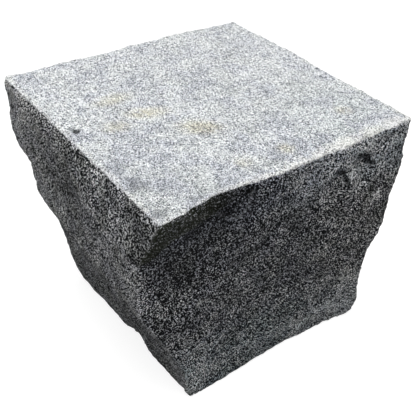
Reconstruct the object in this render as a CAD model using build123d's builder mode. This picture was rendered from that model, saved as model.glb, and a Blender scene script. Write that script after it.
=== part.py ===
"""A large cube sett of grey granite: a flamed head over four cleft sides and a bed.

Millimetres, +Z up. The origin is on the bed, below the middle of the head. The long
edges of the head run along X, and the front edge faces -Y. The stone is one solid.
"""

import os

from build123d import *

# The head, which is the face that is walked on, and the depth of the stone below it
HEAD_LENGTH = 170.0
HEAD_WIDTH = 156.0
DEPTH = 150.0

# How far the rough blank stands out around the finished stone
OVERRUN = 30.0

# How deep the edges of the head are bruised away
ARRIS_BRUISE = 0.8

# Hollow left under the lip by the flake that came off the front left corner
HOLLOW_RADIUS = 200.0
HOLLOW_BITE = 4.0

# Long shallow chip along the front edge of the head
EDGE_CHIP_RADIUS = 85.0
EDGE_CHIP_BITE = 1.9

# Shell-shaped scars on the cleft faces, from broad and shallow to small and sharp
BROAD_SCAR_RADIUS = 260.0
BROAD_SCAR_BITE = 2.2
ROUND_SCAR_RADIUS = 42.0
ROUND_SCAR_BITE = 2.2
SMALL_SCAR_RADIUS = 9.0
SMALL_SCAR_BITE = 1.6

# Flakes off the edges of the bed
BED_CHIP_RADIUS = 24.0
BED_CHIP_BITE = 3.0

# Every place is three shares: along the length, across the width and down the depth,
# from the front left corner of the head. Three places fix the plane of a facet.
FACET_SHARES = {
    # The left side leans out below the head, stands upright, and is then undercut
    "left_shoulder": ((0.0, 0.0, 0.0), (-0.004, 1.0, 0.0), (-0.042, 0.04, 0.175)),
    "left_waist": ((-0.047, 0.04, 0.18), (-0.018, 0.96, 0.20), (-0.046, 0.04, 0.39)),
    "left_corner": ((0.013, 0.935, 0.31), (-0.028, 0.64, 0.34), (0.019, 0.915, 0.50)),
    "left_step": ((-0.019, 0.96, 0.20), (-0.030, 0.64, 0.34), (0.013, 0.935, 0.30)),
    "left_undercut": ((-0.045, 0.04, 0.39), (0.02, 0.92, 0.50), (0.099, 0.03, 0.75)),
    "left_foot": ((0.151, 0.03, 1.0), (0.132, 0.74, 1.0), (0.064, 0.917, 0.633)),
    # The front has a lip under its edge, an upright face that turns outwards to the
    # right, and a corner that leans out below the head
    "front_lip": ((0.0, 0.0, 0.0), (0.20, 0.011, 0.0), (-0.035, 0.035, 0.15)),
    "front_face": ((0.23, 0.010, 1.0), (0.55, 0.001, 1.0), (0.27, 0.014, 0.0)),
    "front_turn": ((0.694, -0.012, 1.0), (0.924, -0.050, 1.0), (0.694, -0.010, 0.0)),
    "front_corner": ((0.65, 0.0, 0.0), (1.0, -0.002, 0.0), (0.976, -0.042, 0.48)),
    # The right side is almost upright down to a step, and upright again below it
    "right_shoulder": ((1.007, 0.0, 0.0), (1.012, 1.0, 0.0), (0.982, -0.042, 0.44)),
    "right_step": ((0.976, -0.042, 0.485), (0.975, 0.90, 0.66), (0.912, -0.045, 0.60)),
    "right_foot": ((0.932, -0.050, 1.0), (0.90, 0.82, 1.0), (0.921, -0.042, 0.60)),
    # The back leans in all the way down, and more so on the right
    "back_face": ((0.0, 1.011, 0.0), (1.0, 1.018, 0.0), (0.118, 0.80, 1.0)),
    "back_corner": ((1.0, 0.985, 0.22), (0.55, 0.93, 0.52), (0.86, 0.80, 1.0)),
    # Two corners are broken off the bed
    "bed_corner_right": ((0.932, -0.05, 0.975), (0.895, -0.045, 1.0), (0.93, 0.03, 1.0)),
    "bed_corner_back": ((0.88, 0.80, 0.90), (0.78, 0.83, 1.0), (0.91, 0.66, 1.0)),
}

# Facets that each cut off all of the stone beyond them
CLEAVED_FACETS = (
    "left_shoulder",
    "left_waist",
    "front_corner",
    "right_shoulder",
    "back_face",
    "back_corner",
    "bed_corner_right",
    "bed_corner_back",
)

# Facets that meet the head along a straight edge
HEAD_FACETS = ("left_shoulder", "front_corner", "right_shoulder", "back_face")

# The facet that a scar is in, and the place it is centred on
HOLLOW_SHARES = ("front_face", (0.06, 0.012, 0.213))
EDGE_CHIP_SHARES = ("front_face", (0.218, 0.01, 0.027))
BROAD_SCAR_SHARES = (
    ("left_waist", (-0.03, 0.58, 0.16)),
    ("front_face", (0.42, 0.0, 0.60)),
    ("right_shoulder", (0.99, 0.35, 0.30)),
    ("back_face", (0.30, 0.93, 0.40)),
)
ROUND_SCAR_SHARES = (
    ("left_shoulder", (-0.02, 0.975, 0.105)),
    ("front_turn", (0.76, -0.02, 0.78)),
    ("right_shoulder", (0.99, 0.78, 0.22)),
    ("back_face", (0.62, 0.95, 0.24)),
    ("back_corner", (0.80, 0.86, 0.74)),
)
SMALL_SCAR_SHARES = (
    ("front_corner", (0.72, -0.01, 0.135)),
    ("front_corner", (0.81, -0.01, 0.115)),
    ("back_face", (0.15, 0.98, 0.12)),
)
BED_CHIP_SHARES = (
    ("left_foot", (0.14, 0.37, 1.0)),
    ("right_foot", (0.90, 0.60, 1.0)),
    ("back_face", (0.42, 0.82, 1.0)),
)


def place(along_share, across_share, down_share):
    """A point of the stone, as shares of its sizes from the front left corner of the head."""
    return Vector(
        HEAD_LENGTH * (along_share - 1 / 2),
        HEAD_WIDTH * (across_share - 1 / 2),
        DEPTH * (1 - down_share),
    )


def facet(name):
    """The plane of a facet, with its Z pointing out of the stone."""
    first, second, third = (place(*share) for share in FACET_SHARES[name])
    along = second - first
    outward = along.cross(third - first)
    if outward.dot(first - place(1 / 2, 1 / 2, 1 / 2)) < 0:
        outward = -outward
    return Plane(origin=first, x_dir=along, z_dir=outward)


def bruise(name):
    """The slanting plane that takes off the sharp edge between a facet and the head."""
    side = facet(name)
    outward = (side.z_dir + Axis.Z.direction).normalized()
    return Plane(origin=side.origin - outward * ARRIS_BRUISE, z_dir=outward)


def scar_centre(scar_shares, radius, bite):
    """The centre of the ball that bites so deep into a facet at a place on it."""
    name, spot_share = scar_shares
    plane = facet(name)
    spot = plane.to_local_coords(place(*spot_share))
    return plane.from_local_coords((spot.X, spot.Y, radius - bite))


def blank():
    """The rough block that the stone, or the waste around it, is cleft from."""
    Box(
        HEAD_LENGTH + 2 * OVERRUN,
        HEAD_WIDTH + 2 * OVERRUN,
        DEPTH,
        align=(Align.CENTER, Align.CENTER, Align.MIN),
    )


# Waste in front of the upright face, with the hollow, up to the underside of the lip
with BuildPart() as front_spall:
    blank()
    split(bisect_by=facet("front_face"), keep=Keep.TOP)
    split(bisect_by=facet("front_turn"), keep=Keep.TOP)
    with Locations(scar_centre(HOLLOW_SHARES, HOLLOW_RADIUS, HOLLOW_BITE)):
        Sphere(HOLLOW_RADIUS)
    split(bisect_by=facet("front_lip"), keep=Keep.TOP)

# Waste off the back end of the left waist, up to a small step
with BuildPart() as corner_spall:
    blank()
    split(bisect_by=facet("left_corner"), keep=Keep.TOP)
    split(bisect_by=facet("left_step"), keep=Keep.TOP)

# Waste under the left waist, hollowed between the undercut and the foot
with BuildPart() as left_spall:
    blank()
    split(bisect_by=facet("left_undercut"), keep=Keep.TOP)
    split(bisect_by=facet("left_foot"), keep=Keep.TOP)

# Waste under the step of the right side
with BuildPart() as right_spall:
    blank()
    split(bisect_by=facet("right_step"), keep=Keep.TOP)
    split(bisect_by=facet("right_foot"), keep=Keep.TOP)

# The stone: cleft on all sides, then chipped, with its head left flat
with BuildPart() as sett:
    blank()
    for facet_name in CLEAVED_FACETS:
        split(bisect_by=facet(facet_name), keep=Keep.BOTTOM)
    for spall in (front_spall, corner_spall, left_spall, right_spall):
        add(spall.part, mode=Mode.SUBTRACT)
    for facet_name in HEAD_FACETS:
        split(bisect_by=bruise(facet_name), keep=Keep.BOTTOM)
    with Locations(scar_centre(EDGE_CHIP_SHARES, EDGE_CHIP_RADIUS, EDGE_CHIP_BITE)):
        Sphere(EDGE_CHIP_RADIUS, mode=Mode.SUBTRACT)
    for scar_shares, radius, bite in (
        (BROAD_SCAR_SHARES, BROAD_SCAR_RADIUS, BROAD_SCAR_BITE),
        (ROUND_SCAR_SHARES, ROUND_SCAR_RADIUS, ROUND_SCAR_BITE),
        (SMALL_SCAR_SHARES, SMALL_SCAR_RADIUS, SMALL_SCAR_BITE),
        (BED_CHIP_SHARES, BED_CHIP_RADIUS, BED_CHIP_BITE),
    ):
        with Locations([scar_centre(scar, radius, bite) for scar in scar_shares]):
            Sphere(radius, mode=Mode.SUBTRACT)

sett.part.label = "sett"
os.makedirs("parts", exist_ok=True)
export_step(sett.part, "parts/sett.step")
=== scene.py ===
"""A large cube sett of grey granite on a pale floor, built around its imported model.

The file is laid out as a Blender add-on and is run as a script. Lengths are metres, +Z is up,
and the stone stands on its bed at the origin, with the front edge of its head towards -Y.
"""

import math

import bmesh
import bpy
from bpy.props import FloatProperty, FloatVectorProperty, IntProperty, PointerProperty
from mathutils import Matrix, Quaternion, Vector


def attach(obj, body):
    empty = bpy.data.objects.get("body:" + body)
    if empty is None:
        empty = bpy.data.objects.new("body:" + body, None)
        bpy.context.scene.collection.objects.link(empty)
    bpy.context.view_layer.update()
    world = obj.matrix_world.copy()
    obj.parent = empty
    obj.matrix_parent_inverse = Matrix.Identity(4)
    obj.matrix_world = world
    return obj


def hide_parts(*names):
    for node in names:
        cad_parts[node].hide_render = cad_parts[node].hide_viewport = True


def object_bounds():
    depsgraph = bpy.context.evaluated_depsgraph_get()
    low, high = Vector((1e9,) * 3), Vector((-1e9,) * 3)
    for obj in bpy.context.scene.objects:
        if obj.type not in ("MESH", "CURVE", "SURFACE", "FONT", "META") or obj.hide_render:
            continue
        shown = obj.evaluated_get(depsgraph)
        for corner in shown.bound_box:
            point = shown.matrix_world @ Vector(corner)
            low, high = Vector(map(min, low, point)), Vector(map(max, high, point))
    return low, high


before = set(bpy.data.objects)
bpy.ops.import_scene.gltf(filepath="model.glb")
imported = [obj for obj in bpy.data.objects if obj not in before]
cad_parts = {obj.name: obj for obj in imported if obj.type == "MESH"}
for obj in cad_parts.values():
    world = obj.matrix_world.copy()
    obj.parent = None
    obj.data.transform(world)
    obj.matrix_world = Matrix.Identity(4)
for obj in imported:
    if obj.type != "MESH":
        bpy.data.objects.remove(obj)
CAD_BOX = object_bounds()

bl_info = {
    "name": "Granite sett",
    "version": (1, 0, 0),
    "blender": (4, 5, 0),
    "location": "3D View > Sidebar > Sett",
    "description": "A cube sett with a flamed head and cleft sides, on a plain stage",
    "category": "Object",
}

SETT_NODE = "sett"
BODY = "root"
MM = 0.001

# The stone's own levels
HEAD_LEVEL = CAD_BOX[1].z
BED_LEVEL = CAD_BOX[0].z

# The kinds of line that the relief and the finish follow
HEAD_BORDER, SIDE_ARRIS, CREASE = 1, 2, 3

# Least bend of such a line, and how far the border reaches below the head
SHARP_BEND = math.radians(11)
BORDER_DEPTH = 1.6 * MM

# Nearer than this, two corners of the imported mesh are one
SAME_PLACE = 1e-6

# What the relief adds to the sides, as the voxels round their arrises off
SIDE_GAIN = 0.25 * MM

# Most triangles in a piece
TRIANGLE_LIMIT = 200000

# Camera, as the lens stood over the front left corner of the head
CAMERA_PLACE = (-0.18924, -0.22715, 0.30915)
CAMERA_AIM = (0.00400, -0.00400, 0.07000)
CAMERA_ROLL = math.radians(4.87)
CAMERA_LENS = 50.53
CAMERA_CLIP = (0.01, 50.0)
SENSOR_WIDTH = 36.0

# Softbox above the stone, a little towards its front left
LAMP_PLACE = (-0.22, -0.15, 1.63)
LAMP_AIM = (0.0, 0.0, 0.15)

# The floor is round, and it turns white between these distances from the stone
FLOOR_CORNERS = 96
WHITE_FROM = 0.5
WHITE_TO = 2.5

# Full relief starts and ends at these facings, from 0 upright to 1 level
LEVEL_FROM = 0.80
LEVEL_TO = 0.97

# How wavy the edges of the flakes are: size of the waves, and how far they reach
FLAKE_WAVE_SIZE = 12 * MM
FLAKE_WAVE = 8 * MM

# Pocks of the bed, which stays flat enough to stand on
BED_POCK_SIZE = 6 * MM
BED_POCK_DEPTH = 0.8 * MM

# All arrises are worn down by this much, and the wear fades out at this distance
WEAR_DEPTH = 0.25 * MM
WEAR_REACH = 1.6 * MM

# Seeds of the relief's patterns, on top of the seed that a user picks
GRIT_SEED = 11.0
POCK_SEED = 23.0
CHIP_SEED = 31.0
NIBBLE_SEED = 37.0
BED_SEED = 41.0

# Noises that place the grains: share of the grain's size, seed, gain
EVEN_TURNED = (1.1, 13.0, 1.25)
EVEN_STRAIGHT = (1.0, 19.0, 1.20)
FINER = (0.6, 17.0, 1.7)
SHADING = (0.9, 15.0, 1.7)

# Where masks rise from 0 to 1, in metres along X, along Y or above the bed
FRONT_EDGE_Y = (-0.066, -0.073)
LEFT_FRONT_Y = (-0.03, -0.06)
LEFT_REAR_Y = (-0.03, 0.05)
NEAR_CORNER_X = (-0.05, -0.06)
NEAR_CORNER_Y = (-0.055, -0.062)
RUGGED_X = (-0.018, 0.012)
RUGGED_Z = (0.108, 0.136)
LIP_X = (-0.034, -0.050)
PALE_FOOT_Z = (0.040, 0.012)
TEAL_FOOT_Z = (0.060, 0.030)
# Painted shade at the foot of the left side
SHADED_LEFT_FOOT_Z = (0.09, 0.06)

# Patterns in the granite: size of their lumps, seed, detail and roughness
CLOUDS = (0.011, 1.0, 3.0, 0.55)
BROAD_CLOUDS = (0.045, 3.0, 1.0)
TINT_CLOUDS = (0.013, 4.0, 1.0)
SPECKS = (0.0024, 16.0, 1.0)
MOTTLE = (0.011, 2.0, 3.0, 0.65)
RAGGED_RUST = (0.005, 6.0, 3.0, 0.6)
RAGGED_LIMITS = (0.0035, 8.0, 3.0, 0.65)
BAND_WIDTH = (0.012, 9.0, 2.0)
STREAKS = (0.011, 14.0, 2.0)
STREAK_STRETCH = (0.3, 1.0, 1.5)
FINE_PITS = (0.0022, 12.0, 4.0, 0.65)

# Depth of the grain that is too fine for the mesh
BUMP_HEIGHT = 0.6 * MM

# How much the painted shade in a pit and the painted shadow along the rim of a bite darken the
# stone, and how much rust lights it up
PIT_PAINTED_SHADE = 0.85
RIM_PAINTED_SHADOW = 0.88
RUST_GAIN = 1.11

# Brightest colour of the stone, and the distance over which a nicked arris fades
WHITEST = (0.97, 0.97, 0.97)
NICK_REACH = 1 / 900.0

# The full strength of a place on a side reaches over this share of its radius
SPOT_CORE = 0.1

# Half height of an oval that counts at any height
ANY_HEIGHT = 1.0e3

# What the colour of the whole stone is multiplied by in its clouds
STONE_TINTS = {
    "cool": (0.97, 0.988, 1.042, 1.0),
    "warm": (0.99, 1.012, 0.997, 1.0),
    "mint": (0.955, 1.012, 1.0, 1.0),
}

# What the colour of the front is multiplied by
FRONT_TINTS = {
    "left": (0.99, 1.0, 1.03, 1.0),
    "right": (1.01, 1.0, 0.985, 1.0),
    "foot": (0.90, 1.0, 1.035, 1.0),
    "top": (0.97, 1.0, 1.10, 1.0),
    "rugged corner": (0.95, 1.0, 1.05, 1.0),
}

# Rust stains on the head: middle along X and Y, half lengths along X and Y, turn, strength
STAINS = (
    (-0.0474, 0.0245, 0.0140, 0.0068, 0.0, 0.8),
    (-0.0385, 0.0030, 0.0150, 0.0072, -0.30, 1.1),
    (-0.0589, -0.0008, 0.0100, 0.0070, -0.15, 0.75),
    (-0.0227, -0.0242, 0.0150, 0.0085, -0.55, 1.1),
    (0.0014, -0.0627, 0.0065, 0.0052, -0.2, 0.8),
    (-0.0248, -0.0606, 0.0060, 0.0050, -0.2, 0.6),
    (0.0570, -0.0520, 0.0070, 0.0055, -0.5, 0.7),
)

# Where the stone is finer grained: its front left corner, with a full and a faint reach
FINE_CORNER = (-0.085, -0.078, HEAD_LEVEL)
FINE_CORE = 0.03
FINE_REACH = 0.12

# The rugged part of the front, below the right end of its edge: middle, full and faint reach,
# and what its flakes and lumps are multiplied by
RUGGED_MIDDLE = (0.048, -0.080, 0.132)
RUGGED_CORE = 0.020
RUGGED_REACH = 0.055
RUGGED_GAIN = 2.4

# Mint tinge near the right end of the head's front edge: middle, full and faint reach
MINT_MIDDLE = (0.055, -0.055, HEAD_LEVEL)
MINT_CORE = 0.010
MINT_REACH = 0.045

# Paler and darker places on the head: middle along X and Y, radius, brightness
HEAD_SHADES = (
    (-0.0805, 0.0053, 0.0060, 0.75),
    (-0.0789, -0.0292, 0.0090, 0.72),
    (-0.0782, -0.0481, 0.0100, 0.70),
    (-0.0821, -0.0715, 0.0100, 0.74),
    (-0.0558, -0.0670, 0.0090, 0.76),
    (-0.0232, -0.0676, 0.0080, 0.76),
    (-0.0115, -0.0691, 0.0070, 0.78),
    (0.0189, -0.0704, 0.0080, 0.80),
    (0.0039, 0.0213, 0.0140, 0.84),
    (0.0371, -0.0127, 0.0120, 0.86),
    (0.0572, -0.0174, 0.0120, 0.86),
    (-0.0740, 0.0450, 0.0240, 1.10),
    (0.0700, 0.0600, 0.0300, 1.06),
)

# Paler and darker places on the sides: middle, radius, brightness
SIDE_SHADES = (
    # Painted shade under the lip and in its hollow
    (-0.0600, -0.0755, 0.1320, 0.0380, 0.54),
    (-0.0400, -0.0750, 0.1400, 0.0280, 0.44),
    (-0.0860, -0.0715, 0.1240, 0.0140, 0.85),
    (-0.0680, -0.0720, 0.1070, 0.0260, 0.74),
    (-0.0485, -0.0740, 0.1060, 0.0160, 0.90),
    (-0.0274, -0.0764, 0.1053, 0.0200, 0.78),
    (-0.0180, -0.0765, 0.1210, 0.0160, 0.80),
    # Left side
    (-0.0889, 0.0040, 0.1300, 0.0400, 0.66),
    (-0.0905, -0.0040, 0.1100, 0.0200, 0.82),
    (-0.0880, -0.0700, 0.1370, 0.0240, 0.70),
    (-0.0925, -0.0640, 0.1240, 0.0120, 0.88),
    (-0.0880, 0.0000, 0.1400, 0.0160, 0.84),
    (-0.0800, -0.0600, 0.0640, 0.0300, 0.74),
    (-0.0784, -0.0753, 0.0600, 0.0130, 1.20),
    (-0.0885, -0.0310, 0.1440, 0.0180, 1.25),
    (-0.0870, 0.0440, 0.1410, 0.0160, 1.08),
    (-0.0905, -0.0380, 0.1080, 0.0180, 1.15),
    # Middle and foot of the front
    (0.0044, -0.0771, 0.1214, 0.0190, 0.60),
    (0.0147, -0.0773, 0.1388, 0.0100, 0.80),
    (0.0330, -0.0790, 0.1040, 0.0260, 1.15),
    (-0.0274, -0.0770, 0.0820, 0.0160, 1.18),
    (-0.0624, -0.0757, 0.0570, 0.0200, 1.28),
    (-0.0080, -0.0770, 0.0200, 0.0240, 0.84),
    (-0.0570, -0.0760, 0.0220, 0.0240, 1.30),
    # Rugged corner
    (0.0310, -0.0785, 0.1430, 0.0130, 1.22),
    (0.0520, -0.0785, 0.1430, 0.0130, 1.28),
    (0.0258, -0.0785, 0.1220, 0.0100, 1.15),
    # Painted highlight on the lump between the rims of the two large bites
    (0.0439, -0.0799, 0.1291, 0.0085, 1.55),
    (0.0670, -0.0820, 0.1055, 0.0075, 1.60),
    (0.0790, -0.0803, 0.1275, 0.0140, 0.46),
)

# Crushed, paler places on the sides: middle, radius, strength
SIDE_BRUISES = (
    (0.0661, -0.0820, 0.1062, 0.0090, 1.0),
    (0.0600, -0.0837, 0.0360, 0.0240, 0.60),
    (-0.0600, -0.0760, 0.0200, 0.0300, 0.85),
    (-0.0560, -0.0760, 0.0470, 0.0240, 0.38),
    (0.0250, -0.0800, 0.0060, 0.0260, 0.6),
    (0.0260, -0.0796, 0.1180, 0.0120, 0.6),
    (-0.0870, 0.0520, 0.1400, 0.0300, 0.25),
    (-0.0920, -0.0420, 0.1150, 0.0320, 0.20),
    (-0.0920, -0.0690, 0.1080, 0.0160, 0.40),
)

# Pits in the head: middle along X and Y, radius, depth
PITS = (
    (-0.0789, 0.0059, 0.0024, 0.0016),
    (-0.0806, 0.0095, 0.0013, 0.0008),
    (-0.0590, -0.0712, 0.0015, 0.0007),
    (-0.0622, -0.0698, 0.0013, 0.0006),
)

# Shell-shaped bites out of the front, deepest along one side: middle, radius, depth
BITES = (
    (0.0250, -0.0800, 0.1215, 0.0120, 0.0032),
    (0.0455, -0.0800, 0.1250, 0.0120, 0.0032),
    (0.0050, -0.0800, 0.1385, 0.0060, 0.0012),
)
BITE_RIM = Vector((0.70, 0.0, 0.72))

# Shaded rims of the bites: their ends along X and Z, and half their width
RIMS = (
    (0.0270, 0.1352, 0.0335, 0.1322, 0.0032),
    (0.0335, 0.1322, 0.0375, 0.1245, 0.0034),
    (0.0445, 0.1385, 0.0520, 0.1358, 0.0028),
    (0.0520, 0.1358, 0.0568, 0.1300, 0.0030),
)

# Notches in the edges of the head: middle along X and Y, radius, depth
NOTCHES = (
    (-0.0850, -0.0292, 0.0060, 0.0010),
    (-0.0850, -0.0481, 0.0070, 0.0012),
    (-0.0850, 0.0300, 0.0060, 0.0008),
    (-0.0746, -0.0775, 0.0045, 0.0009),
    (-0.0660, -0.0765, 0.0050, 0.0013),
    (-0.0560, -0.0765, 0.0040, 0.0009),
    (-0.0440, -0.0775, 0.0050, 0.0012),
    (-0.0200, -0.0780, 0.0040, 0.0007),
    (0.0080, -0.0790, 0.0045, 0.0008),
)
NOTCH_LEVEL = HEAD_LEVEL - 0.6 * MM

# Places where a side stands out further: middle, radius, height
BULGES = (
    (-0.0840, 0.0120, 0.0450, 0.0240, 0.0022),
    (0.0850, -0.0800, 0.1180, 0.0200, 0.0014),
    (0.0720, -0.0850, 0.0130, 0.0160, 0.0020),
    (-0.0900, 0.0600, 0.1180, 0.0200, 0.0010),
    (-0.0670, 0.0400, 0.0200, 0.0320, 0.0022),
    (0.0350, 0.0805, 0.1450, 0.0260, 0.0020),
)


# Sums and nodes that the trees are built from


class Wire:
    """A number, vector or colour in a node tree, with the sums that can be made of it."""

    def __init__(self, socket):
        self.socket = socket
        self.tree = socket.id_data

    def math(self, operation, *others):
        node = add(self.tree, "ShaderNodeMath", operation=operation)
        for position, value in enumerate((self, *others)):
            feed(node.inputs[position], value)
        return Wire(node.outputs[0])

    def vector(self, operation, *others):
        node = add(self.tree, "ShaderNodeVectorMath", operation=operation)
        for position, value in enumerate((self, *others)):
            feed(node.inputs[position], value)
        to_number = operation in ("DOT_PRODUCT", "LENGTH", "DISTANCE")
        return Wire(node.outputs["Value" if to_number else "Vector"])

    def scaled(self, factor):
        values = {0: self, "Scale": factor}
        return Wire(add(self.tree, "ShaderNodeVectorMath", values, operation="SCALE").outputs[0])

    def ramp(self, low, high, start=0.0, end=1.0, smooth=True):
        """This number, taken smoothly from low..high to start..end."""
        shape = "SMOOTHSTEP" if smooth else "LINEAR"
        values = {
            "Value": self,
            "From Min": low,
            "From Max": high,
            "To Min": start,
            "To Max": end,
        }
        node = add(self.tree, "ShaderNodeMapRange", values, interpolation_type=shape, clamp=True)
        return Wire(node.outputs["Result"])

    def part(self, axis):
        return Wire(add(self.tree, "ShaderNodeSeparateXYZ", {0: self}).outputs[axis])

    def __add__(self, other):
        return self.math("ADD", other)

    def __sub__(self, other):
        return self.math("SUBTRACT", other)

    def __mul__(self, other):
        return self.math("MULTIPLY", other)

    def __truediv__(self, other):
        return self.math("DIVIDE", other)

    __radd__ = __add__

    def __rsub__(self, other):
        return self.math("MULTIPLY_ADD", -1.0, other)


def feed(socket, value):
    """Links a wire into a socket, or sets the socket to a plain value."""
    if isinstance(value, Wire):
        value.tree.links.new(value.socket, socket)
    else:
        socket.default_value = value


def add(tree, kind, inputs=None, **settings):
    """A new node with its settings, and its inputs linked or set."""
    node = tree.nodes.new(kind)
    for name, value in settings.items():
        setattr(node, name, value)
    for name, value in (inputs or {}).items():
        feed(node.inputs[name], value)
    return node


def scale_for(size):
    """The scale of a texture whose lumps are size across."""
    return size.math("POWER", -1.0) if isinstance(size, Wire) else 1 / size


def noise_node(place, size, seed, detail, roughness):
    values = {
        "Vector": place,
        "W": seed,
        "Scale": scale_for(size),
        "Detail": detail,
        "Roughness": roughness,
    }
    return add(place.tree, "ShaderNodeTexNoise", values, noise_dimensions="4D")


def noise(place, size, seed, detail, roughness=0.5):
    """Clouds about 0.5, whose lumps are size across."""
    return Wire(noise_node(place, size, seed, detail, roughness).outputs[0])


def noise_vector(place, size, seed):
    """Clouds in three directions about 0."""
    return about_zero(Wire(noise_node(place, size, seed, 1.0, 0.5).outputs["Color"]))


def about_zero(colour):
    """A colour from 0 to 1 as a vector from -0.5 to 0.5."""
    return colour.vector("SUBTRACT", (0.5, 0.5, 0.5))


def cells(place, size):
    """Cells about size across, as a node with a random colour and a middle."""
    values = {"Vector": place, "Scale": scale_for(size)}
    return add(place.tree, "ShaderNodeTexVoronoi", values)


def mix(factor, first, second, blend="MIX"):
    """Two colours mixed by a factor."""
    tree = next(w.tree for w in (factor, first, second) if isinstance(w, Wire))
    # The node's sockets for colours come after those for numbers and vectors
    values = {0: factor, 6: first, 7: second}
    node = add(tree, "ShaderNodeMix", values, data_type="RGBA", blend_type=blend)
    return Wire(node.outputs[2])


def new_group(name, kind, inputs, outputs):
    """An empty node group with named sockets, and its input and output nodes."""
    tree = bpy.data.node_groups.new(name, kind)
    for socket_name, socket_type, default in inputs:
        item = tree.interface.new_socket(socket_name, in_out="INPUT", socket_type=socket_type)
        if default is not None:
            item.default_value = default
    for socket_name, socket_type in outputs:
        tree.interface.new_socket(socket_name, in_out="OUTPUT", socket_type=socket_type)
    return tree, add(tree, "NodeGroupInput"), add(tree, "NodeGroupOutput")


# The settings that a user can change


def length(name, description, default):
    return number(name, description, default, subtype="DISTANCE", unit="LENGTH", precision=5)


def number(name, description, default, **limits):
    return FloatProperty(name=name, description=description, default=default, min=0.0, **limits)


def colour(name, description, default):
    return FloatVectorProperty(
        name=name,
        description=description,
        default=default,
        subtype="COLOR",
        size=3,
        min=0.0,
        max=1.0,
    )


class SettShape(bpy.types.PropertyGroup):
    """Sizes of the relief on the stone"""

    voxel: length("Voxel", "Spacing of the mesh before its relief", 1.36 * MM)
    swell_size: length("Swell size", "Width of the broad swells of a cleft face", 38 * MM)
    swell_height: length("Swell height", "Height of the broad swells", 1.8 * MM)
    flake_size: length("Flake size", "Width of the flakes of a cleft face", 13 * MM)
    flake_lean: number("Flake lean", "Slope of the flakes", 0.055, max=1.0)
    grit_size: length("Grit size", "Width of the lumps of a cleft face", 3.8 * MM)
    grit_height: length("Grit height", "Height of the lumps", 0.7 * MM)
    flame_size: length("Flame size", "Width of the pocks of the flamed head", 4.5 * MM)
    flame_height: length("Flame height", "Height of the pocks", 0.35 * MM)
    chip_size: length("Chip size", "Length of the chips along an arris", 7 * MM)
    chip_depth: length("Chip depth", "Depth of the chips along an arris", 0.9 * MM)
    chip_reach: length("Chip reach", "How far a chip reaches from an arris", 2.4 * MM)
    seed: IntProperty(name="Seed", description="Picks the pattern", default=7, min=0)


class SettFinish(bpy.types.PropertyGroup):
    """Colours and grain of the stone"""

    head_crystal: length("Head grain", "Size of the grains on the head", 0.61 * MM)
    cleft_crystal: length("Side grain", "Size of the grains on the sides", 0.66 * MM)
    head_pale: colour("Head feldspar", "Pale grains of the flamed head", (0.89, 0.905, 0.92))
    head_glassy: colour("Head quartz", "Grey grains of the flamed head", (0.43, 0.45, 0.475))
    head_dark: colour("Head mica", "Dark grains of the flamed head", (0.07, 0.075, 0.085))
    cleft_pale: colour("Side feldspar", "Pale grains of the cleft sides", (0.96, 0.96, 0.96))
    cleft_glassy: colour("Side quartz", "Grey grains of the cleft sides", (0.13, 0.133, 0.137))
    cleft_dark: colour("Side mica", "Dark grains of the cleft sides", (0.008, 0.008, 0.009))
    bruise: colour("Bruise", "Crushed stone along the arrises", (1.0, 0.98, 0.93))
    stain: colour("Rust", "Rust stains on the head", (1.0, 0.93, 0.74))
    # Painted shade on the lip, as a darker olive colour
    moss: colour("Lip shade", "Olive painted shade on the lip", (0.056, 0.062, 0.037))


class SettStage(bpy.types.PropertyGroup):
    """Floor and light"""

    floor: colour("Floor", "Colour of the floor", (0.36, 0.36, 0.36))
    floor_glow: number("Floor white", "White that the floor shows to the camera", 0.80, max=1.0)
    lamp_power: number(
        "Lamp power", "Power of the overhead softbox", 36.5, subtype="POWER", unit="POWER"
    )
    lamp_size: length("Lamp size", "Width of the overhead softbox", 1.9)
    ambient: number("Ambient", "Strength of the light from all round", 0.14)


# The stone


def relief_settings(shape):
    """The settings of the stone's shape that are inputs of its relief, by socket name."""
    return {
        name.replace("_", " ").title(): float(getattr(shape, name))
        for name in SettShape.__annotations__
        if name != "voxel"
    }


def waves(place, size, seed, detail, roughness=0.5, middle=0.5):
    """Noise about 0, of about 1 at its highest."""
    return (noise(place, size, seed, detail, roughness) - middle) * 2.0


def line_distances(tree, lines):
    """How far each point is from the head's border, the sides' arrises and their creases."""
    source = add(tree, "GeometryNodeObjectInfo", {"Object": lines}, transform_space="RELATIVE")
    mesh = Wire(source.outputs["Geometry"])
    kind = add(tree, "GeometryNodeInputNamedAttribute", {"Name": "kind"}, data_type="INT")
    reach = {}
    for line in (HEAD_BORDER, SIDE_ARRIS, CREASE):
        # The node's third and fourth sockets are the ones for whole numbers
        values = {2: Wire(kind.outputs[0]), 3: line}
        same = add(tree, "FunctionNodeCompare", values, data_type="INT", operation="EQUAL")
        values = {"Geometry": mesh, "Selection": Wire(same.outputs[0])}
        kept = add(tree, "GeometryNodeSeparateGeometry", values, domain="EDGE")
        values = {0: Wire(kept.outputs["Selection"])}
        near = add(tree, "GeometryNodeProximity", values, target_element="EDGES")
        reach[line] = Wire(near.outputs["Distance"])
    return reach


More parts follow.
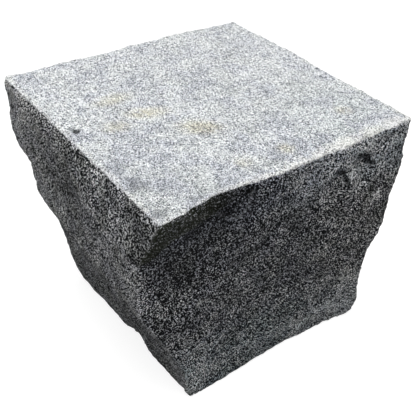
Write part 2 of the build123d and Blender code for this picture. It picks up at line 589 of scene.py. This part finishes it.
def cleft_relief(place, given, seed):
    """Broad swells, leaning flakes, lumps and bulges of the cleft faces."""
    swell = waves(place, given["Swell Size"], seed, 1.5) * given["Swell Height"]
    bent = place.vector("ADD", noise_vector(place, FLAKE_WAVE_SIZE, 3.0).scaled(FLAKE_WAVE))
    middle = Wire(cells(bent, given["Flake Size"]).outputs["Position"])
    values = {"Vector": middle}
    drawn = add(place.tree, "ShaderNodeTexWhiteNoise", values, noise_dimensions="3D")
    lean = about_zero(Wire(drawn.outputs["Color"]))
    slope = bent.vector("SUBTRACT", middle).vector("DOT_PRODUCT", lean)
    flake = slope * given["Flake Lean"] * 2.0
    grit = waves(place, given["Grit Size"], seed + GRIT_SEED, 3.0, 0.6) * given["Grit Height"]
    away = place.vector("DISTANCE", RUGGED_MIDDLE)
    rugged = away.ramp(RUGGED_REACH, RUGGED_CORE, 1.0, RUGGED_GAIN)
    rough = swell + (flake + grit) * rugged + SIDE_GAIN
    for *middle, radius, height in BULGES:
        rough = rough + place.vector("DISTANCE", middle).ramp(radius, 0.0) * height
    return rough


def head_relief(place, given, seed):
    """Pocks that the flame left in the head, and its pits."""
    pocks = waves(place, given["Flame Size"], seed + POCK_SEED, 3.0, 0.6, middle=0.55)
    pocks = pocks * given["Flame Height"]
    for along, across, radius, depth in PITS:
        away = place.vector("DISTANCE", (along, across, HEAD_LEVEL))
        pocks = pocks - away.ramp(radius, 0.0) * depth
    return pocks


def edge_loss(place, given, seed, reach):
    """How much is missing at the bites and the notches, and along the arrises."""
    lost = 0.0
    for *middle, radius, depth in BITES:
        away = place.vector("DISTANCE", middle)
        towards = place.vector("SUBTRACT", middle).vector("DOT_PRODUCT", BITE_RIM)
        bite = away.ramp(radius, radius * 0.68) * towards.ramp(radius * -0.8, radius * 0.7)
        lost = bite * depth + lost
    for along, across, radius, depth in NOTCHES:
        away = place.vector("DISTANCE", (along, across, NOTCH_LEVEL))
        lost = lost + away.ramp(radius, radius * 0.3) * depth

    chips = noise(place, given["Chip Size"], seed + CHIP_SEED, 2.0, 0.6).ramp(0.48, 0.66)
    nibbles = noise(place, given["Chip Size"] * 0.4, seed + NIBBLE_SEED, 1.0).ramp(0.42, 0.68)
    chipped = chips * 0.6 + nibbles * 0.6
    for line, share in ((HEAD_BORDER, 0.75), (SIDE_ARRIS, 1.0)):
        close = reach[line].ramp(given["Chip Reach"], 0.0)
        lost = lost + close * chipped * given["Chip Depth"] * share
        lost = lost + reach[line].ramp(WEAR_REACH, 0.0) * WEAR_DEPTH
    return lost


def after(mesh, kind, values, **settings):
    """A mesh as it comes out of one more node."""
    node = add(mesh.tree, kind, {"Geometry": mesh, **values}, **settings)
    return Wire(node.outputs["Geometry"])


def relief_tree(settings):
    """Geometry nodes that roughen the stone and note how far each point is from its edges."""
    tree, start, end = new_group(
        "Sett relief",
        "GeometryNodeTree",
        (
            ("Geometry", "NodeSocketGeometry", None),
            ("Lines", "NodeSocketObject", None),
            ("Material", "NodeSocketMaterial", None),
            ("Head Level", "NodeSocketFloat", HEAD_LEVEL),
            ("Bed Level", "NodeSocketFloat", BED_LEVEL),
            *((name, "NodeSocketFloat", value) for name, value in settings.items()),
        ),
        (("Geometry", "NodeSocketGeometry"),),
    )
    given = {socket.name: Wire(socket) for socket in start.outputs if socket.name}
    place = Wire(add(tree, "GeometryNodeInputPosition").outputs[0])
    facing = Wire(add(tree, "GeometryNodeInputNormal").outputs[0])
    seed = given["Seed"]
    reach = line_distances(tree, given["Lines"])

    # The head and the bed are the level faces near the stone's two levels
    level = place.part("Z")
    upward = facing.part("Z")
    near_head = level.ramp(given["Head Level"] - 0.004, given["Head Level"] - 0.002)
    near_bed = level.ramp(given["Bed Level"] + 0.002, given["Bed Level"] + 0.0005)
    top = upward.ramp(LEVEL_FROM, LEVEL_TO) * near_head
    bottom = upward.ramp(-LEVEL_FROM, -LEVEL_TO) * near_bed
    cleft = (1.0 - top) * (1.0 - bottom)

    rough = cleft_relief(place, given, seed) * cleft + head_relief(place, given, seed) * top
    rough = rough - edge_loss(place, given, seed, reach)
    bed_pocks = noise(place, BED_POCK_SIZE, seed + BED_SEED, 2.0).ramp(0.35, 0.75)
    rough = rough - bed_pocks * BED_POCK_DEPTH * bottom

    # Which way each point faces, as seen from above
    level_part = facing.vector("MULTIPLY", (1.0, 1.0, 0.0))
    heading = level_part.vector("NORMALIZE")
    steep = level_part.vector("LENGTH").ramp(0.15, 0.35)

    mesh = given["Geometry"]
    for name, value in (
        ("level", level),
        ("head_reach", reach[HEAD_BORDER]),
        ("arris_reach", reach[SIDE_ARRIS]),
        ("crease_reach", reach[CREASE]),
        ("front", heading.part("Y").ramp(-0.45, -0.75) * steep),
        ("left", heading.part("X").ramp(-0.45, -0.75) * steep),
    ):
        values = {"Name": name, "Value": value}
        mesh = after(mesh, "GeometryNodeStoreNamedAttribute", values, domain="POINT")
    mesh = after(mesh, "GeometryNodeSetPosition", {"Offset": facing.scaled(rough)})

    # No point goes below the bed, and the other two limits are far outside the stone
    now = Wire(add(tree, "GeometryNodeInputPosition").outputs[0])
    limit = add(tree, "ShaderNodeCombineXYZ", {"X": -1.0, "Y": -1.0, "Z": given["Bed Level"]})
    held = now.vector("MAXIMUM", Wire(limit.outputs[0]))
    mesh = after(mesh, "GeometryNodeSetPosition", {"Position": held})
    mesh = after(mesh, "GeometryNodeRealizeInstances", {})
    mesh = after(mesh, "GeometryNodeSetMaterial", {"Material": given["Material"]})
    feed(end.inputs["Geometry"], mesh)
    return tree


def merged_copy(node):
    """The mesh of a CAD node with its loose triangles joined."""
    shell = bmesh.new()
    shell.from_mesh(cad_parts[node].data)
    bmesh.ops.remove_doubles(shell, verts=shell.verts, dist=SAME_PLACE)
    return shell


def sharp_lines(shell):
    """An object of the shell's sharp edges alone, each with its kind."""
    corners, edges, kinds = [], [], []
    for edge in shell.edges:
        if len(edge.link_faces) != 2:
            continue
        bend = edge.calc_face_angle_signed()
        if abs(bend) < SHARP_BEND:
            continue
        if bend < 0:
            kind = CREASE
        elif min(corner.co.z for corner in edge.verts) > HEAD_LEVEL - BORDER_DEPTH:
            kind = HEAD_BORDER
        else:
            kind = SIDE_ARRIS
        first = len(corners)
        corners += [corner.co.copy() for corner in edge.verts]
        edges.append((first, first + 1))
        kinds.append(kind)
    mesh = bpy.data.meshes.new("sett_lines")
    mesh.from_pydata(corners, edges, [])
    mesh.attributes.new("kind", "INT", "EDGE").data.foreach_set("value", kinds)
    lines = bpy.data.objects.new("sett_lines", mesh)
    bpy.context.scene.collection.objects.link(lines)
    return lines


class SETT_OT_stone(bpy.types.Operator):
    """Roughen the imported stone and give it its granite"""

    bl_idname = "sett.stone"
    bl_label = "Sett"

    def execute(self, context):
        shape = context.scene.sett_shape
        shell = merged_copy(SETT_NODE)
        lines = sharp_lines(shell)
        mesh = bpy.data.meshes.new("sett_stone")
        shell.to_mesh(mesh)
        shell.free()
        stone = bpy.data.objects.new("sett_stone", mesh)
        context.scene.collection.objects.link(stone)

        voxels = stone.modifiers.new("Voxels", "REMESH")
        voxels.mode = "VOXEL"
        voxels.voxel_size = shape.voxel
        voxels.use_smooth_shade = True
        relief = stone.modifiers.new("Relief", "NODES")
        settings = relief_settings(shape)
        relief.node_group = relief_tree(settings)
        material = granite(context.scene.sett_finish)
        values = {"Lines": lines, "Material": material, **settings}
        for item in relief.node_group.interface.items_tree:
            if item.in_out == "INPUT" and item.name in values:
                relief[item.identifier] = values[item.name]

        depsgraph = context.evaluated_depsgraph_get()
        plain = bpy.data.meshes.new_from_object(stone.evaluated_get(depsgraph))
        plain.name = "sett_stone"
        stone.modifiers.clear()
        stone.data = plain
        bpy.data.meshes.remove(mesh)
        lines_mesh = lines.data
        bpy.data.objects.remove(lines)
        bpy.data.meshes.remove(lines_mesh)
        plain.calc_loop_triangles()
        if not 0 < len(plain.loop_triangles) < TRIANGLE_LIMIT:
            raise RuntimeError(f"the stone has {len(plain.loop_triangles)} triangles")

        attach(stone, BODY)
        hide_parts(SETT_NODE)
        return {"FINISHED"}


# The granite


def crystals_group():
    """Mineral grains: which mineral, its own shade, and how far it stands out."""
    tree, start, end = new_group(
        "Crystals",
        "ShaderNodeTree",
        (
            ("Place", "NodeSocketVector", None),
            ("Size", "NodeSocketFloat", 0.0012),
            ("Fineness", "NodeSocketFloat", 0.0),
            ("Spread", "NodeSocketFloat", 1.0),
        ),
        (
            ("Mineral", "NodeSocketFloat"),
            ("Shade", "NodeSocketFloat"),
            ("Height", "NodeSocketFloat"),
        ),
    )
    place, size, fineness, spread = (
        Wire(start.outputs[name]) for name in ("Place", "Size", "Fineness", "Spread")
    )
    bent = place.vector("ADD", noise_vector(place, 0.0012, 5.0).scaled(0.0005))
    coarse = Wire(cells(bent, size).outputs["Color"])
    fine = Wire(cells(bent, size * 0.5).outputs["Color"])
    turned = add(
        tree,
        "ShaderNodeVectorRotate",
        {"Vector": bent, "Rotation": (0.6, 0.9, 0.4)},
        rotation_type="EULER_XYZ",
    )
    turned = Wire(turned.outputs[0])

    def smooth(where, share, seed, gain):
        """Noise about 0 without octaves, which spaces the grains more evenly than cells do."""
        return (noise(where, size * share, seed, 0.0) - 0.5) * gain

    # Two noises at an angle to each other, so that no direction stands out
    plain = smooth(bent, *EVEN_STRAIGHT) + (smooth(turned, *EVEN_TURNED) + 0.5)
    finer = smooth(turned, *FINER) + 0.5
    other = smooth(turned, *SHADING) + 0.5
    # A mixture of two noises is flatter than either of them
    regained = 1.0 + fineness * (1.0 - fineness) * 1.9
    even = (plain + (finer - plain) * fineness - 0.5) * regained * spread + 0.5
    mineral = (coarse.part("X") * 0.15 + even * 0.85).ramp(0.18, 0.82)
    shade = (fine.part("X") * 0.5 + other * 0.5).ramp(0.2, 0.8, smooth=False)
    feed(end.inputs["Mineral"], mineral)
    feed(end.inputs["Shade"], shade)
    feed(end.inputs["Height"], coarse.part("Z") * 0.5 + fine.part("Y") * 0.5)
    return tree


def minerals_group():
    """The colour of a grain, from its mineral, its shade and the stone's three colours."""
    tree, start, end = new_group(
        "Minerals",
        "ShaderNodeTree",
        (
            ("Mineral", "NodeSocketFloat", 0.5),
            ("Shade", "NodeSocketFloat", 0.5),
            ("Dark Share", "NodeSocketFloat", 0.1),
            ("Glassy Share", "NodeSocketFloat", 0.4),
            ("Softness", "NodeSocketFloat", 0.03),
            ("Contrast", "NodeSocketFloat", 0.5),
            ("Pale", "NodeSocketColor", (0.8, 0.8, 0.8, 1.0)),
            ("Glassy", "NodeSocketColor", (0.5, 0.5, 0.5, 1.0)),
            ("Dark", "NodeSocketColor", (0.1, 0.1, 0.1, 1.0)),
        ),
        (("Color", "NodeSocketColor"),),
    )
    given = {socket.name: Wire(socket) for socket in start.outputs if socket.name}
    soft = given["Softness"]
    dark = given["Mineral"].ramp(given["Dark Share"] + soft, given["Dark Share"] - soft)
    limit = given["Dark Share"] + given["Glassy Share"]
    glassy = given["Mineral"].ramp(limit + soft, limit - soft)
    body = mix(dark, mix(glassy, given["Pale"], given["Glassy"]), given["Dark"])
    shade = given["Shade"].ramp(0.15, 0.85, smooth=False)
    gain = 1.0 + (shade - 0.5) * given["Contrast"] * 2.0
    feed(end.inputs["Color"], body.scaled(gain))
    return tree


def attribute(tree, name):
    return Wire(add(tree, "ShaderNodeAttribute", attribute_name=name).outputs["Fac"])


def spot(place, along, across, half_along, half_across, turn):
    """1 in the middle of an oval spot on the head, falling to 0 at its rim."""
    mapping = add(
        place.tree,
        "ShaderNodeMapping",
        {
            "Vector": place,
            "Location": (along, across, 0.0),
            "Rotation": (0.0, 0.0, turn),
            "Scale": (half_along, half_across, ANY_HEIGHT),
        },
        vector_type="TEXTURE",
    )
    return Wire(mapping.outputs[0]).vector("LENGTH").ramp(1.25, 0.15)


def segment_distance(place, first, last):
    """How far a place is from the straight line between two points."""
    run = last - first
    offset = place.vector("SUBTRACT", first)
    share = (offset.vector("DOT_PRODUCT", run) / run.length_squared).math("MAXIMUM", 0.0)
    nearest = add(
        place.tree,
        "ShaderNodeVectorMath",
        {0: run, "Scale": share.math("MINIMUM", 1.0)},
        operation="SCALE",
    )
    return offset.vector("DISTANCE", Wire(nearest.outputs[0]))


def strongest(masks):
    """The largest of several masks at each place."""
    largest, *others = masks
    for mask in others:
        largest = largest.math("MAXIMUM", mask)
    return largest


class Ground:
    """The places, masks, clouds and grains that each part of the granite is painted from."""

    def __init__(self, tree, finish):
        self.tree = tree
        self.finish = finish
        self.place = Wire(add(tree, "ShaderNodeTexCoord").outputs["Object"])
        self.along = self.place.part("X")
        self.across = self.place.part("Y")
        self.level = attribute(tree, "level")
        self.head_reach = attribute(tree, "head_reach")
        self.arris_reach = attribute(tree, "arris_reach")
        self.crease_reach = attribute(tree, "crease_reach")
        self.front = attribute(tree, "front")
        self.left = attribute(tree, "left")
        self.clouds = noise(self.place, *CLOUDS)
        self.height = self.level + (self.clouds - 0.5) * 0.04

        # How far a place is back and to the right, and the far part of the head
        self.inward = self.across + self.along * 0.6
        self.far = self.inward.ramp(-0.03, 0.07)

        # The front end of the left side, and all that is close to the front left arris
        self.close = self.across.ramp(*LEFT_FRONT_Y)
        self.near_corner = self.along.ramp(*NEAR_CORNER_X) * self.across.ramp(*NEAR_CORNER_Y)

        # The rugged corner of the front is below the right end of its edge
        self.broken_level = self.level + (self.clouds - 0.5) * 0.02
        corner = self.broken_level.ramp(*RUGGED_Z) * self.front
        self.corner = corner * self.along.ramp(*RUGGED_X)

        # The stone is finer grained towards its front left corner
        away = self.place.vector("DISTANCE", FINE_CORNER)
        self.fineness = away.ramp(FINE_REACH, FINE_CORE, 0.0, 0.50)
        crystals = crystals_group()
        self.minerals = minerals_group()
        rear = self.left * (self.across.ramp(*LEFT_REAR_Y) * 0.55 + 0.10)
        self.head_grains = self.grains(
            crystals, finish.head_crystal, self.fineness, self.far * 0.44 + 0.98
        )
        self.side_grains = self.grains(
            crystals,
            finish.cleft_crystal,
            self.fineness * 0.7,
            rear + self.front * self.fineness * 0.45 + 1.15,
        )
        self.shade = Wire(self.side_grains.outputs["Shade"])

        # Lets the limits between two kinds of stone wander along the grains
        self.wander = noise(self.place, *RAGGED_LIMITS) * 0.6 + self.shade * 0.4 - 0.5

    def grains(self, crystals, size, fineness, spread):
        """Mineral grains of one size, as a node."""
        values = {"Place": self.place, "Size": size, "Fineness": fineness, "Spread": spread}
        return add(self.tree, "ShaderNodeGroup", values, node_tree=crystals)

    def rock(self, grains, colours, dark_share, glassy_share, softness, contrast):
        """Stone whose pale, glassy and dark minerals have these colours and shares."""
        values = {
            "Mineral": Wire(grains.outputs["Mineral"]),
            "Shade": Wire(grains.outputs["Shade"]),
            "Dark Share": dark_share,
            "Glassy Share": glassy_share,
            "Softness": softness,
            "Contrast": contrast,
        }
        for name, colour in zip(("Pale", "Glassy", "Dark"), colours):
            values[name] = (*colour, 1.0)
        node = add(self.tree, "ShaderNodeGroup", values, node_tree=self.minerals)
        return Wire(node.outputs["Color"])


def crushed_stone(ground):
    """Stone that a blow has crushed, which is nearly white."""
    white = ground.finish.bruise
    colours = (
        white,
        tuple(0.72 * part for part in white),
        tuple(0.20 * part for part in white),
    )
    return ground.rock(
        ground.head_grains,
        colours,
        dark_share=0.12,
        glassy_share=0.34,
        softness=0.06,
        contrast=0.35,
    )


def head_colour(ground):
    """The flamed head with its clouds, single places, rust stains and pits."""
    place, finish = ground.place, ground.finish
    colours = (finish.head_pale, finish.head_glassy, finish.head_dark)
    head = ground.rock(
        ground.head_grains,
        colours,
        dark_share=ground.far * 0.01 + 0.11,
        glassy_share=0.38,
        softness=0.05,
        contrast=0.42,
    )
    for gain in (
        ground.clouds.ramp(0.28, 0.72, 0.77, 1.20),
        noise(place, *SPECKS).ramp(0.3, 0.7, 0.85, 1.15),
        noise(place, *BROAD_CLOUDS).ramp(0.3, 0.7, 0.95, 1.05),
        ground.inward.ramp(-0.11, 0.0, 0.82, 1.0, smooth=False),
        ground.inward.ramp(-0.01, 0.09, 1.0, 1.15, smooth=False),
    ):
        head = head.scaled(gain)
    for along, across, radius, gain in HEAD_SHADES:
        away = place.vector("DISTANCE", (along, across, HEAD_LEVEL))
        head = head.scaled(away.ramp(radius, 0.0, 1.0, gain))

    rust = strongest(spot(place, *oval) * strength for *oval, strength in STAINS)
    rust = rust * noise(place, *RAGGED_RUST).ramp(0.25, 0.50)
    rusty = head.vector("MULTIPLY", finish.stain).scaled(RUST_GAIN)
    head = mix(rust, head, rusty)

    # Painted shade: each pit is darkened, the more the deeper it is
    deepest = max(depth for *_, depth in PITS)
    for along, across, radius, depth in PITS:
        hole = spot(place, along, across, radius, radius, 0.0).ramp(0.05, 0.70)
        head = head.scaled(1.0 - hole * (PIT_PAINTED_SHADE * depth / deepest))
    return head


def border_masks(ground):
    """How far the head's border is crushed, and where the head goes over into the sides."""
    near = ground.across.ramp(*FRONT_EDGE_Y)
    band = 0.0009 + near * ground.along.ramp(-0.06, 0.04, 0.0006, 0.0028)
    band = band * noise(ground.place, *BAND_WIDTH).ramp(0.3, 0.7, 0.35, 1.65)
    crushed = (ground.head_reach / band + ground.wander * 4.5).ramp(1.6, 0.4)
    strength = near * ground.along.ramp(-0.06, -0.02) * 0.42 + 0.50
    lowest = HEAD_LEVEL - near * ground.along.ramp(-0.05, 0.02, 0.0, 0.0008) - 0.0009
    level = ground.level + ground.wander * 0.0014
    return crushed * strength, level.ramp(lowest - 0.0002, lowest + 0.0002)


def pale_places(ground):
    """Where the sides are paler: the rugged corner and single places, which are crushed, and the
    foot of the front in streaks.
    """
    streaks = noise(ground.place.vector("MULTIPLY", STREAK_STRETCH), *STREAKS)
    foot = ground.broken_level.ramp(*PALE_FOOT_Z) * ground.front
    foot = foot * streaks.ramp(0.38, 0.62, 0.0, 1.2)
    gap = ground.along.ramp(-0.045, -0.020) * ground.along.ramp(0.030, 0.005)
    masks = [ground.corner, foot * (1.0 - gap * 0.55)]
    for *middle, radius, strength in SIDE_BRUISES:
        away = ground.place.vector("DISTANCE", middle)
        masks.append(away.ramp(radius, radius * SPOT_CORE) * strength)
    return strongest(masks) * ground.clouds.ramp(0.3, 0.6, 0.75, 1.1)


def side_gains(ground):
    """What the brightness of the sides is multiplied by, one thing at a time."""
    front, left, height = ground.front, ground.left, ground.height
    # Painted shade: the sides are darker within 3 mm of a crease
    yield ground.crease_reach.ramp(0.0, 0.003, 0.75, 1.0)

    # Painted light and shade: the front is painted darker, most at its middle height and least at
    # its foot and right end, where it is painted as lit; the left side is painted darker, most at
    # its front end and at its foot
    waist = front * height.ramp(0.045, 0.07) * height.ramp(0.125, 0.110) * 0.15
    lit = height.ramp(0.06, 0.02).math("MAXIMUM", ground.along.ramp(0.0, 0.05))
    yield 1.08 - front * (0.18 - lit * 0.14) - waist - left * (ground.close * 0.13 + 0.35)
    yield 1.0 - left * height.ramp(*SHADED_LEFT_FOOT_Z) * 0.25

    # The ridge between the front and the left side catches the light below the lip
    ridge = ground.arris_reach.ramp(0.0055, 0.001) * ground.near_corner
    ridge = ridge * height.ramp(0.128, 0.120) * height.ramp(0.085, 0.097)
    yield 1.0 + ridge * 0.25

    for *middle, radius, gain in SIDE_SHADES:
        away = ground.place.vector("DISTANCE", middle)
        yield away.ramp(radius, radius * SPOT_CORE, 1.0, gain)

    # Painted shadow: the rims of the bites are darkened along frayed lines, drawn as seen from
    # the front
    frayed = ground.place.vector("ADD", noise_vector(ground.place, 0.004, 17.0).scaled(0.004))
    frayed = frayed.vector("MULTIPLY", (1.0, 0.0, 1.0))
    for first_x, first_z, last_x, last_z, half_width in RIMS:
        first = Vector((first_x, 0.0, first_z))
        last = Vector((last_x, 0.0, last_z))
        rim = segment_distance(frayed, first, last).ramp(half_width, half_width * 0.3)
        yield 1.0 - rim * front * RIM_PAINTED_SHADOW


def lip_mask(ground):
    """1 on the lip below the left end of the front edge."""
    foot = ground.along.ramp(-0.086, -0.077, 0.126, 0.133, smooth=False)
    foot = foot + ground.along.ramp(-0.077, -0.038, 0.0, 0.0095, smooth=False)
    above = ground.place.part("Z") - foot + ground.wander * 0.006
    return above.ramp(-0.0010, 0.0010) * ground.front * ground.along.ramp(*LIP_X)


def front_tint(ground, lip):
    """Bluish at the top of the front, teal at its foot, and neutral to warm in between."""
    height = ground.height
    tint = mix(ground.along.ramp(0.0, 0.06), FRONT_TINTS["left"], FRONT_TINTS["right"])
    at_foot = height.ramp(*TEAL_FOOT_Z) * ground.along.ramp(0.04, -0.01, 0.5, 1.0)
    tint = mix(at_foot, tint, FRONT_TINTS["foot"])
    tint = mix(height.ramp(0.115, 0.135) * (1.0 - lip), tint, FRONT_TINTS["top"])
    return mix(ground.corner * 0.8, tint, FRONT_TINTS["rugged corner"])


def side_colour(ground, bruise):
    """The cleft sides, with the painted shade on the lip and the tints of the front."""
    finish, front, left = ground.finish, ground.front, ground.left
    dark_share = 0.68 - left * (ground.close * 0.06 + 0.06) - pale_places(ground) * 0.26
    sides = ground.rock(
        ground.side_grains,
        (finish.cleft_pale, finish.cleft_glassy, finish.cleft_dark),
        dark_share=dark_share + front * ground.fineness * 0.08,
        glassy_share=0.24,
        softness=0.07,
        contrast=0.45 - left * 0.08,
    )
    sides = sides.scaled(noise(ground.place, *MOTTLE).ramp(0.28, 0.72, 0.50, 1.48))

    nicked = (ground.arris_reach / NICK_REACH + ground.wander * 4.0).ramp(1.0, 0.2)
    sides = mix(nicked * (0.35 + ground.near_corner * 0.3), sides, bruise)
    for gain in side_gains(ground):
        sides = sides.scaled(gain)

    # Painted shade: the lip below the left end of the front edge is painted darker and olive
    lip = lip_mask(ground)
    lip_shade_share = ground.along.ramp(-0.045, -0.070, 0.18, 0.42)
    shaded_lip = mix(lip_shade_share, sides.scaled(0.90), (*finish.moss, 1.0))
    shaded_lip = shaded_lip.scaled(ground.shade.ramp(0.2, 0.8, 0.20, 1.38))
    sides = mix(lip, sides, shaded_lip)
    return mix(front, sides, front_tint(ground, lip), "MULTIPLY")


def stone_tint(ground):
    """Clouds of cooler and warmer stone, with a mint tinge on the head."""
    tint = ground.clouds * 0.6 + noise(ground.place, *TINT_CLOUDS) * 0.4
    tints = mix(tint.ramp(0.40, 0.60), STONE_TINTS["cool"], STONE_TINTS["warm"])
    mint = ground.place.vector("DISTANCE", MINT_MIDDLE).ramp(MINT_REACH, MINT_CORE, 0.0, 0.8)
    return mix(mint * tint.ramp(0.42, 0.58), tints, STONE_TINTS["mint"])


def granite(finish):
    """Grey granite: flamed head, cleft sides, bruised arrises and rust stains."""
    material = bpy.data.materials.new("granite")
    material.use_nodes = True
    tree = material.node_tree
    shader = tree.nodes["Principled BSDF"]
    ground = Ground(tree, finish)

    bruise = crushed_stone(ground)
    crushed, on_head = border_masks(ground)
    head = mix(crushed, head_colour(ground), bruise)
    whole = mix(on_head, side_colour(ground, bruise), head)
    whole = mix(1.0, whole, stone_tint(ground), "MULTIPLY")
    feed(shader.inputs["Base Color"], whole.vector("MINIMUM", WHITEST))

    # Grain that is too fine for the mesh
    pitted = noise(ground.place, *FINE_PITS)
    bump = add(
        tree,
        "ShaderNodeBump",
        {
            "Height": Wire(ground.side_grains.outputs["Height"]) * 0.5 + pitted * 0.5,
            "Strength": 1.0,
            "Distance": BUMP_HEIGHT,
        },
    )
    feed(shader.inputs["Normal"], Wire(bump.outputs[0]))
    mineral = Wire(ground.side_grains.outputs["Mineral"])
    feed(shader.inputs["Roughness"], mineral.ramp(0.0, 1.0, 0.62, 0.85))
    shader.inputs["Specular IOR Level"].default_value = 0.02
    return material


# The stage


def seen_directly(tree):
    """1 for rays from the camera, and for those that a gloss or a glass passes on."""
    path = add(tree, "ShaderNodeLightPath")
    camera, glossy, through = (
        Wire(path.outputs[name])
        for name in ("Is Camera Ray", "Is Glossy Ray", "Is Transmission Ray")
    )
    return camera.math("MAXIMUM", glossy).math("MAXIMUM", through)


def point_at(thing, place, aim, roll=0.0):
    """Puts a lamp or camera at a place, pointed at its aim and rolled about that line."""
    thing.location = place
    thing.rotation_mode = "QUATERNION"
    turn = (Vector(aim) - thing.location).to_track_quat("-Z", "Y")
    thing.rotation_quaternion = turn @ Quaternion((0.0, 0.0, 1.0), roll)
    bpy.context.scene.collection.objects.link(thing)


class SETT_OT_stage(bpy.types.Operator):
    """Lay the floor, hang the softbox, and set the world and the camera"""

    bl_idname = "sett.stage"
    bl_label = "Stage"

    floor_radius: length("Floor radius", "How far the floor reaches", 4.0)

    def execute(self, context):
        scene, stage = context.scene, context.scene.sett_stage
        scene.view_settings.view_transform = "Standard"

        disc = bmesh.new()
        bmesh.ops.create_circle(
            disc, cap_ends=True, segments=FLOOR_CORNERS, radius=self.floor_radius
        )
        mesh = bpy.data.meshes.new("floor")
        disc.to_mesh(mesh)
        disc.free()
        floor = bpy.data.objects.new("floor", mesh)
        scene.collection.objects.link(floor)
        paint = bpy.data.materials.new("floor")
        paint.use_nodes = True
        shader = paint.node_tree.nodes["Principled BSDF"]
        shader.inputs["Base Color"].default_value = (*stage.floor, 1.0)
        shader.inputs["Roughness"].default_value = 1.0
        shader.inputs["Specular IOR Level"].default_value = 0.0
        shader.inputs["Emission Color"].default_value = (1.0, 1.0, 1.0, 1.0)
        place = Wire(add(paint.node_tree, "ShaderNodeTexCoord").outputs["Object"])
        glow = place.vector("LENGTH").ramp(WHITE_FROM, WHITE_TO, stage.floor_glow, 1.0)
        feed(shader.inputs["Emission Strength"], seen_directly(paint.node_tree) * glow)
        mesh.materials.append(paint)

        world = bpy.data.worlds.new("studio")
        world.use_nodes = True
        scene.world = world
        background = world.node_tree.nodes["Background"]
        background.inputs["Color"].default_value = (1.0, 1.0, 1.0, 1.0)
        strength = seen_directly(world.node_tree).ramp(0.0, 1.0, stage.ambient, 1.0, smooth=False)
        feed(background.inputs["Strength"], strength)

        lamp = bpy.data.lights.new("softbox", "AREA")
        lamp.shape = "DISK"
        lamp.size = stage.lamp_size
        lamp.energy = stage.lamp_power
        point_at(bpy.data.objects.new("softbox", lamp), LAMP_PLACE, LAMP_AIM)

        lens = bpy.data.cameras.new("camera")
        lens.sensor_width = SENSOR_WIDTH
        lens.lens = CAMERA_LENS
        lens.clip_start, lens.clip_end = CAMERA_CLIP
        camera = bpy.data.objects.new("camera", lens)
        point_at(camera, CAMERA_PLACE, CAMERA_AIM, CAMERA_ROLL)
        scene.camera = camera
        return {"FINISHED"}


# Panel and start


class SETT_PT_panel(bpy.types.Panel):
    """The stone's settings, in the sidebar of the 3D view"""

    bl_idname = "SETT_PT_panel"
    bl_label = "Granite sett"
    bl_space_type = "VIEW_3D"
    bl_region_type = "UI"
    bl_category = "Sett"

    def draw(self, context):
        for settings, operator in (
            (context.scene.sett_shape, SETT_OT_stone.bl_idname),
            (context.scene.sett_finish, None),
            (context.scene.sett_stage, SETT_OT_stage.bl_idname),
        ):
            box = self.layout.box()
            for name in settings.bl_rna.properties.keys():
                if name not in ("rna_type", "name"):
                    box.prop(settings, name)
            if operator:
                box.operator(operator)


CLASSES = (SettShape, SettFinish, SettStage, SETT_OT_stone, SETT_OT_stage, SETT_PT_panel)


def register():
    for item in CLASSES:
        bpy.utils.register_class(item)
    bpy.types.Scene.sett_shape = PointerProperty(type=SettShape)
    bpy.types.Scene.sett_finish = PointerProperty(type=SettFinish)
    bpy.types.Scene.sett_stage = PointerProperty(type=SettStage)


def unregister():
    del bpy.types.Scene.sett_stage
    del bpy.types.Scene.sett_finish
    del bpy.types.Scene.sett_shape
    for item in reversed(CLASSES):
        bpy.utils.unregister_class(item)


def main():
    register()
    bpy.ops.sett.stage()
    bpy.ops.sett.stone()


if __name__ == "__main__":
    main()
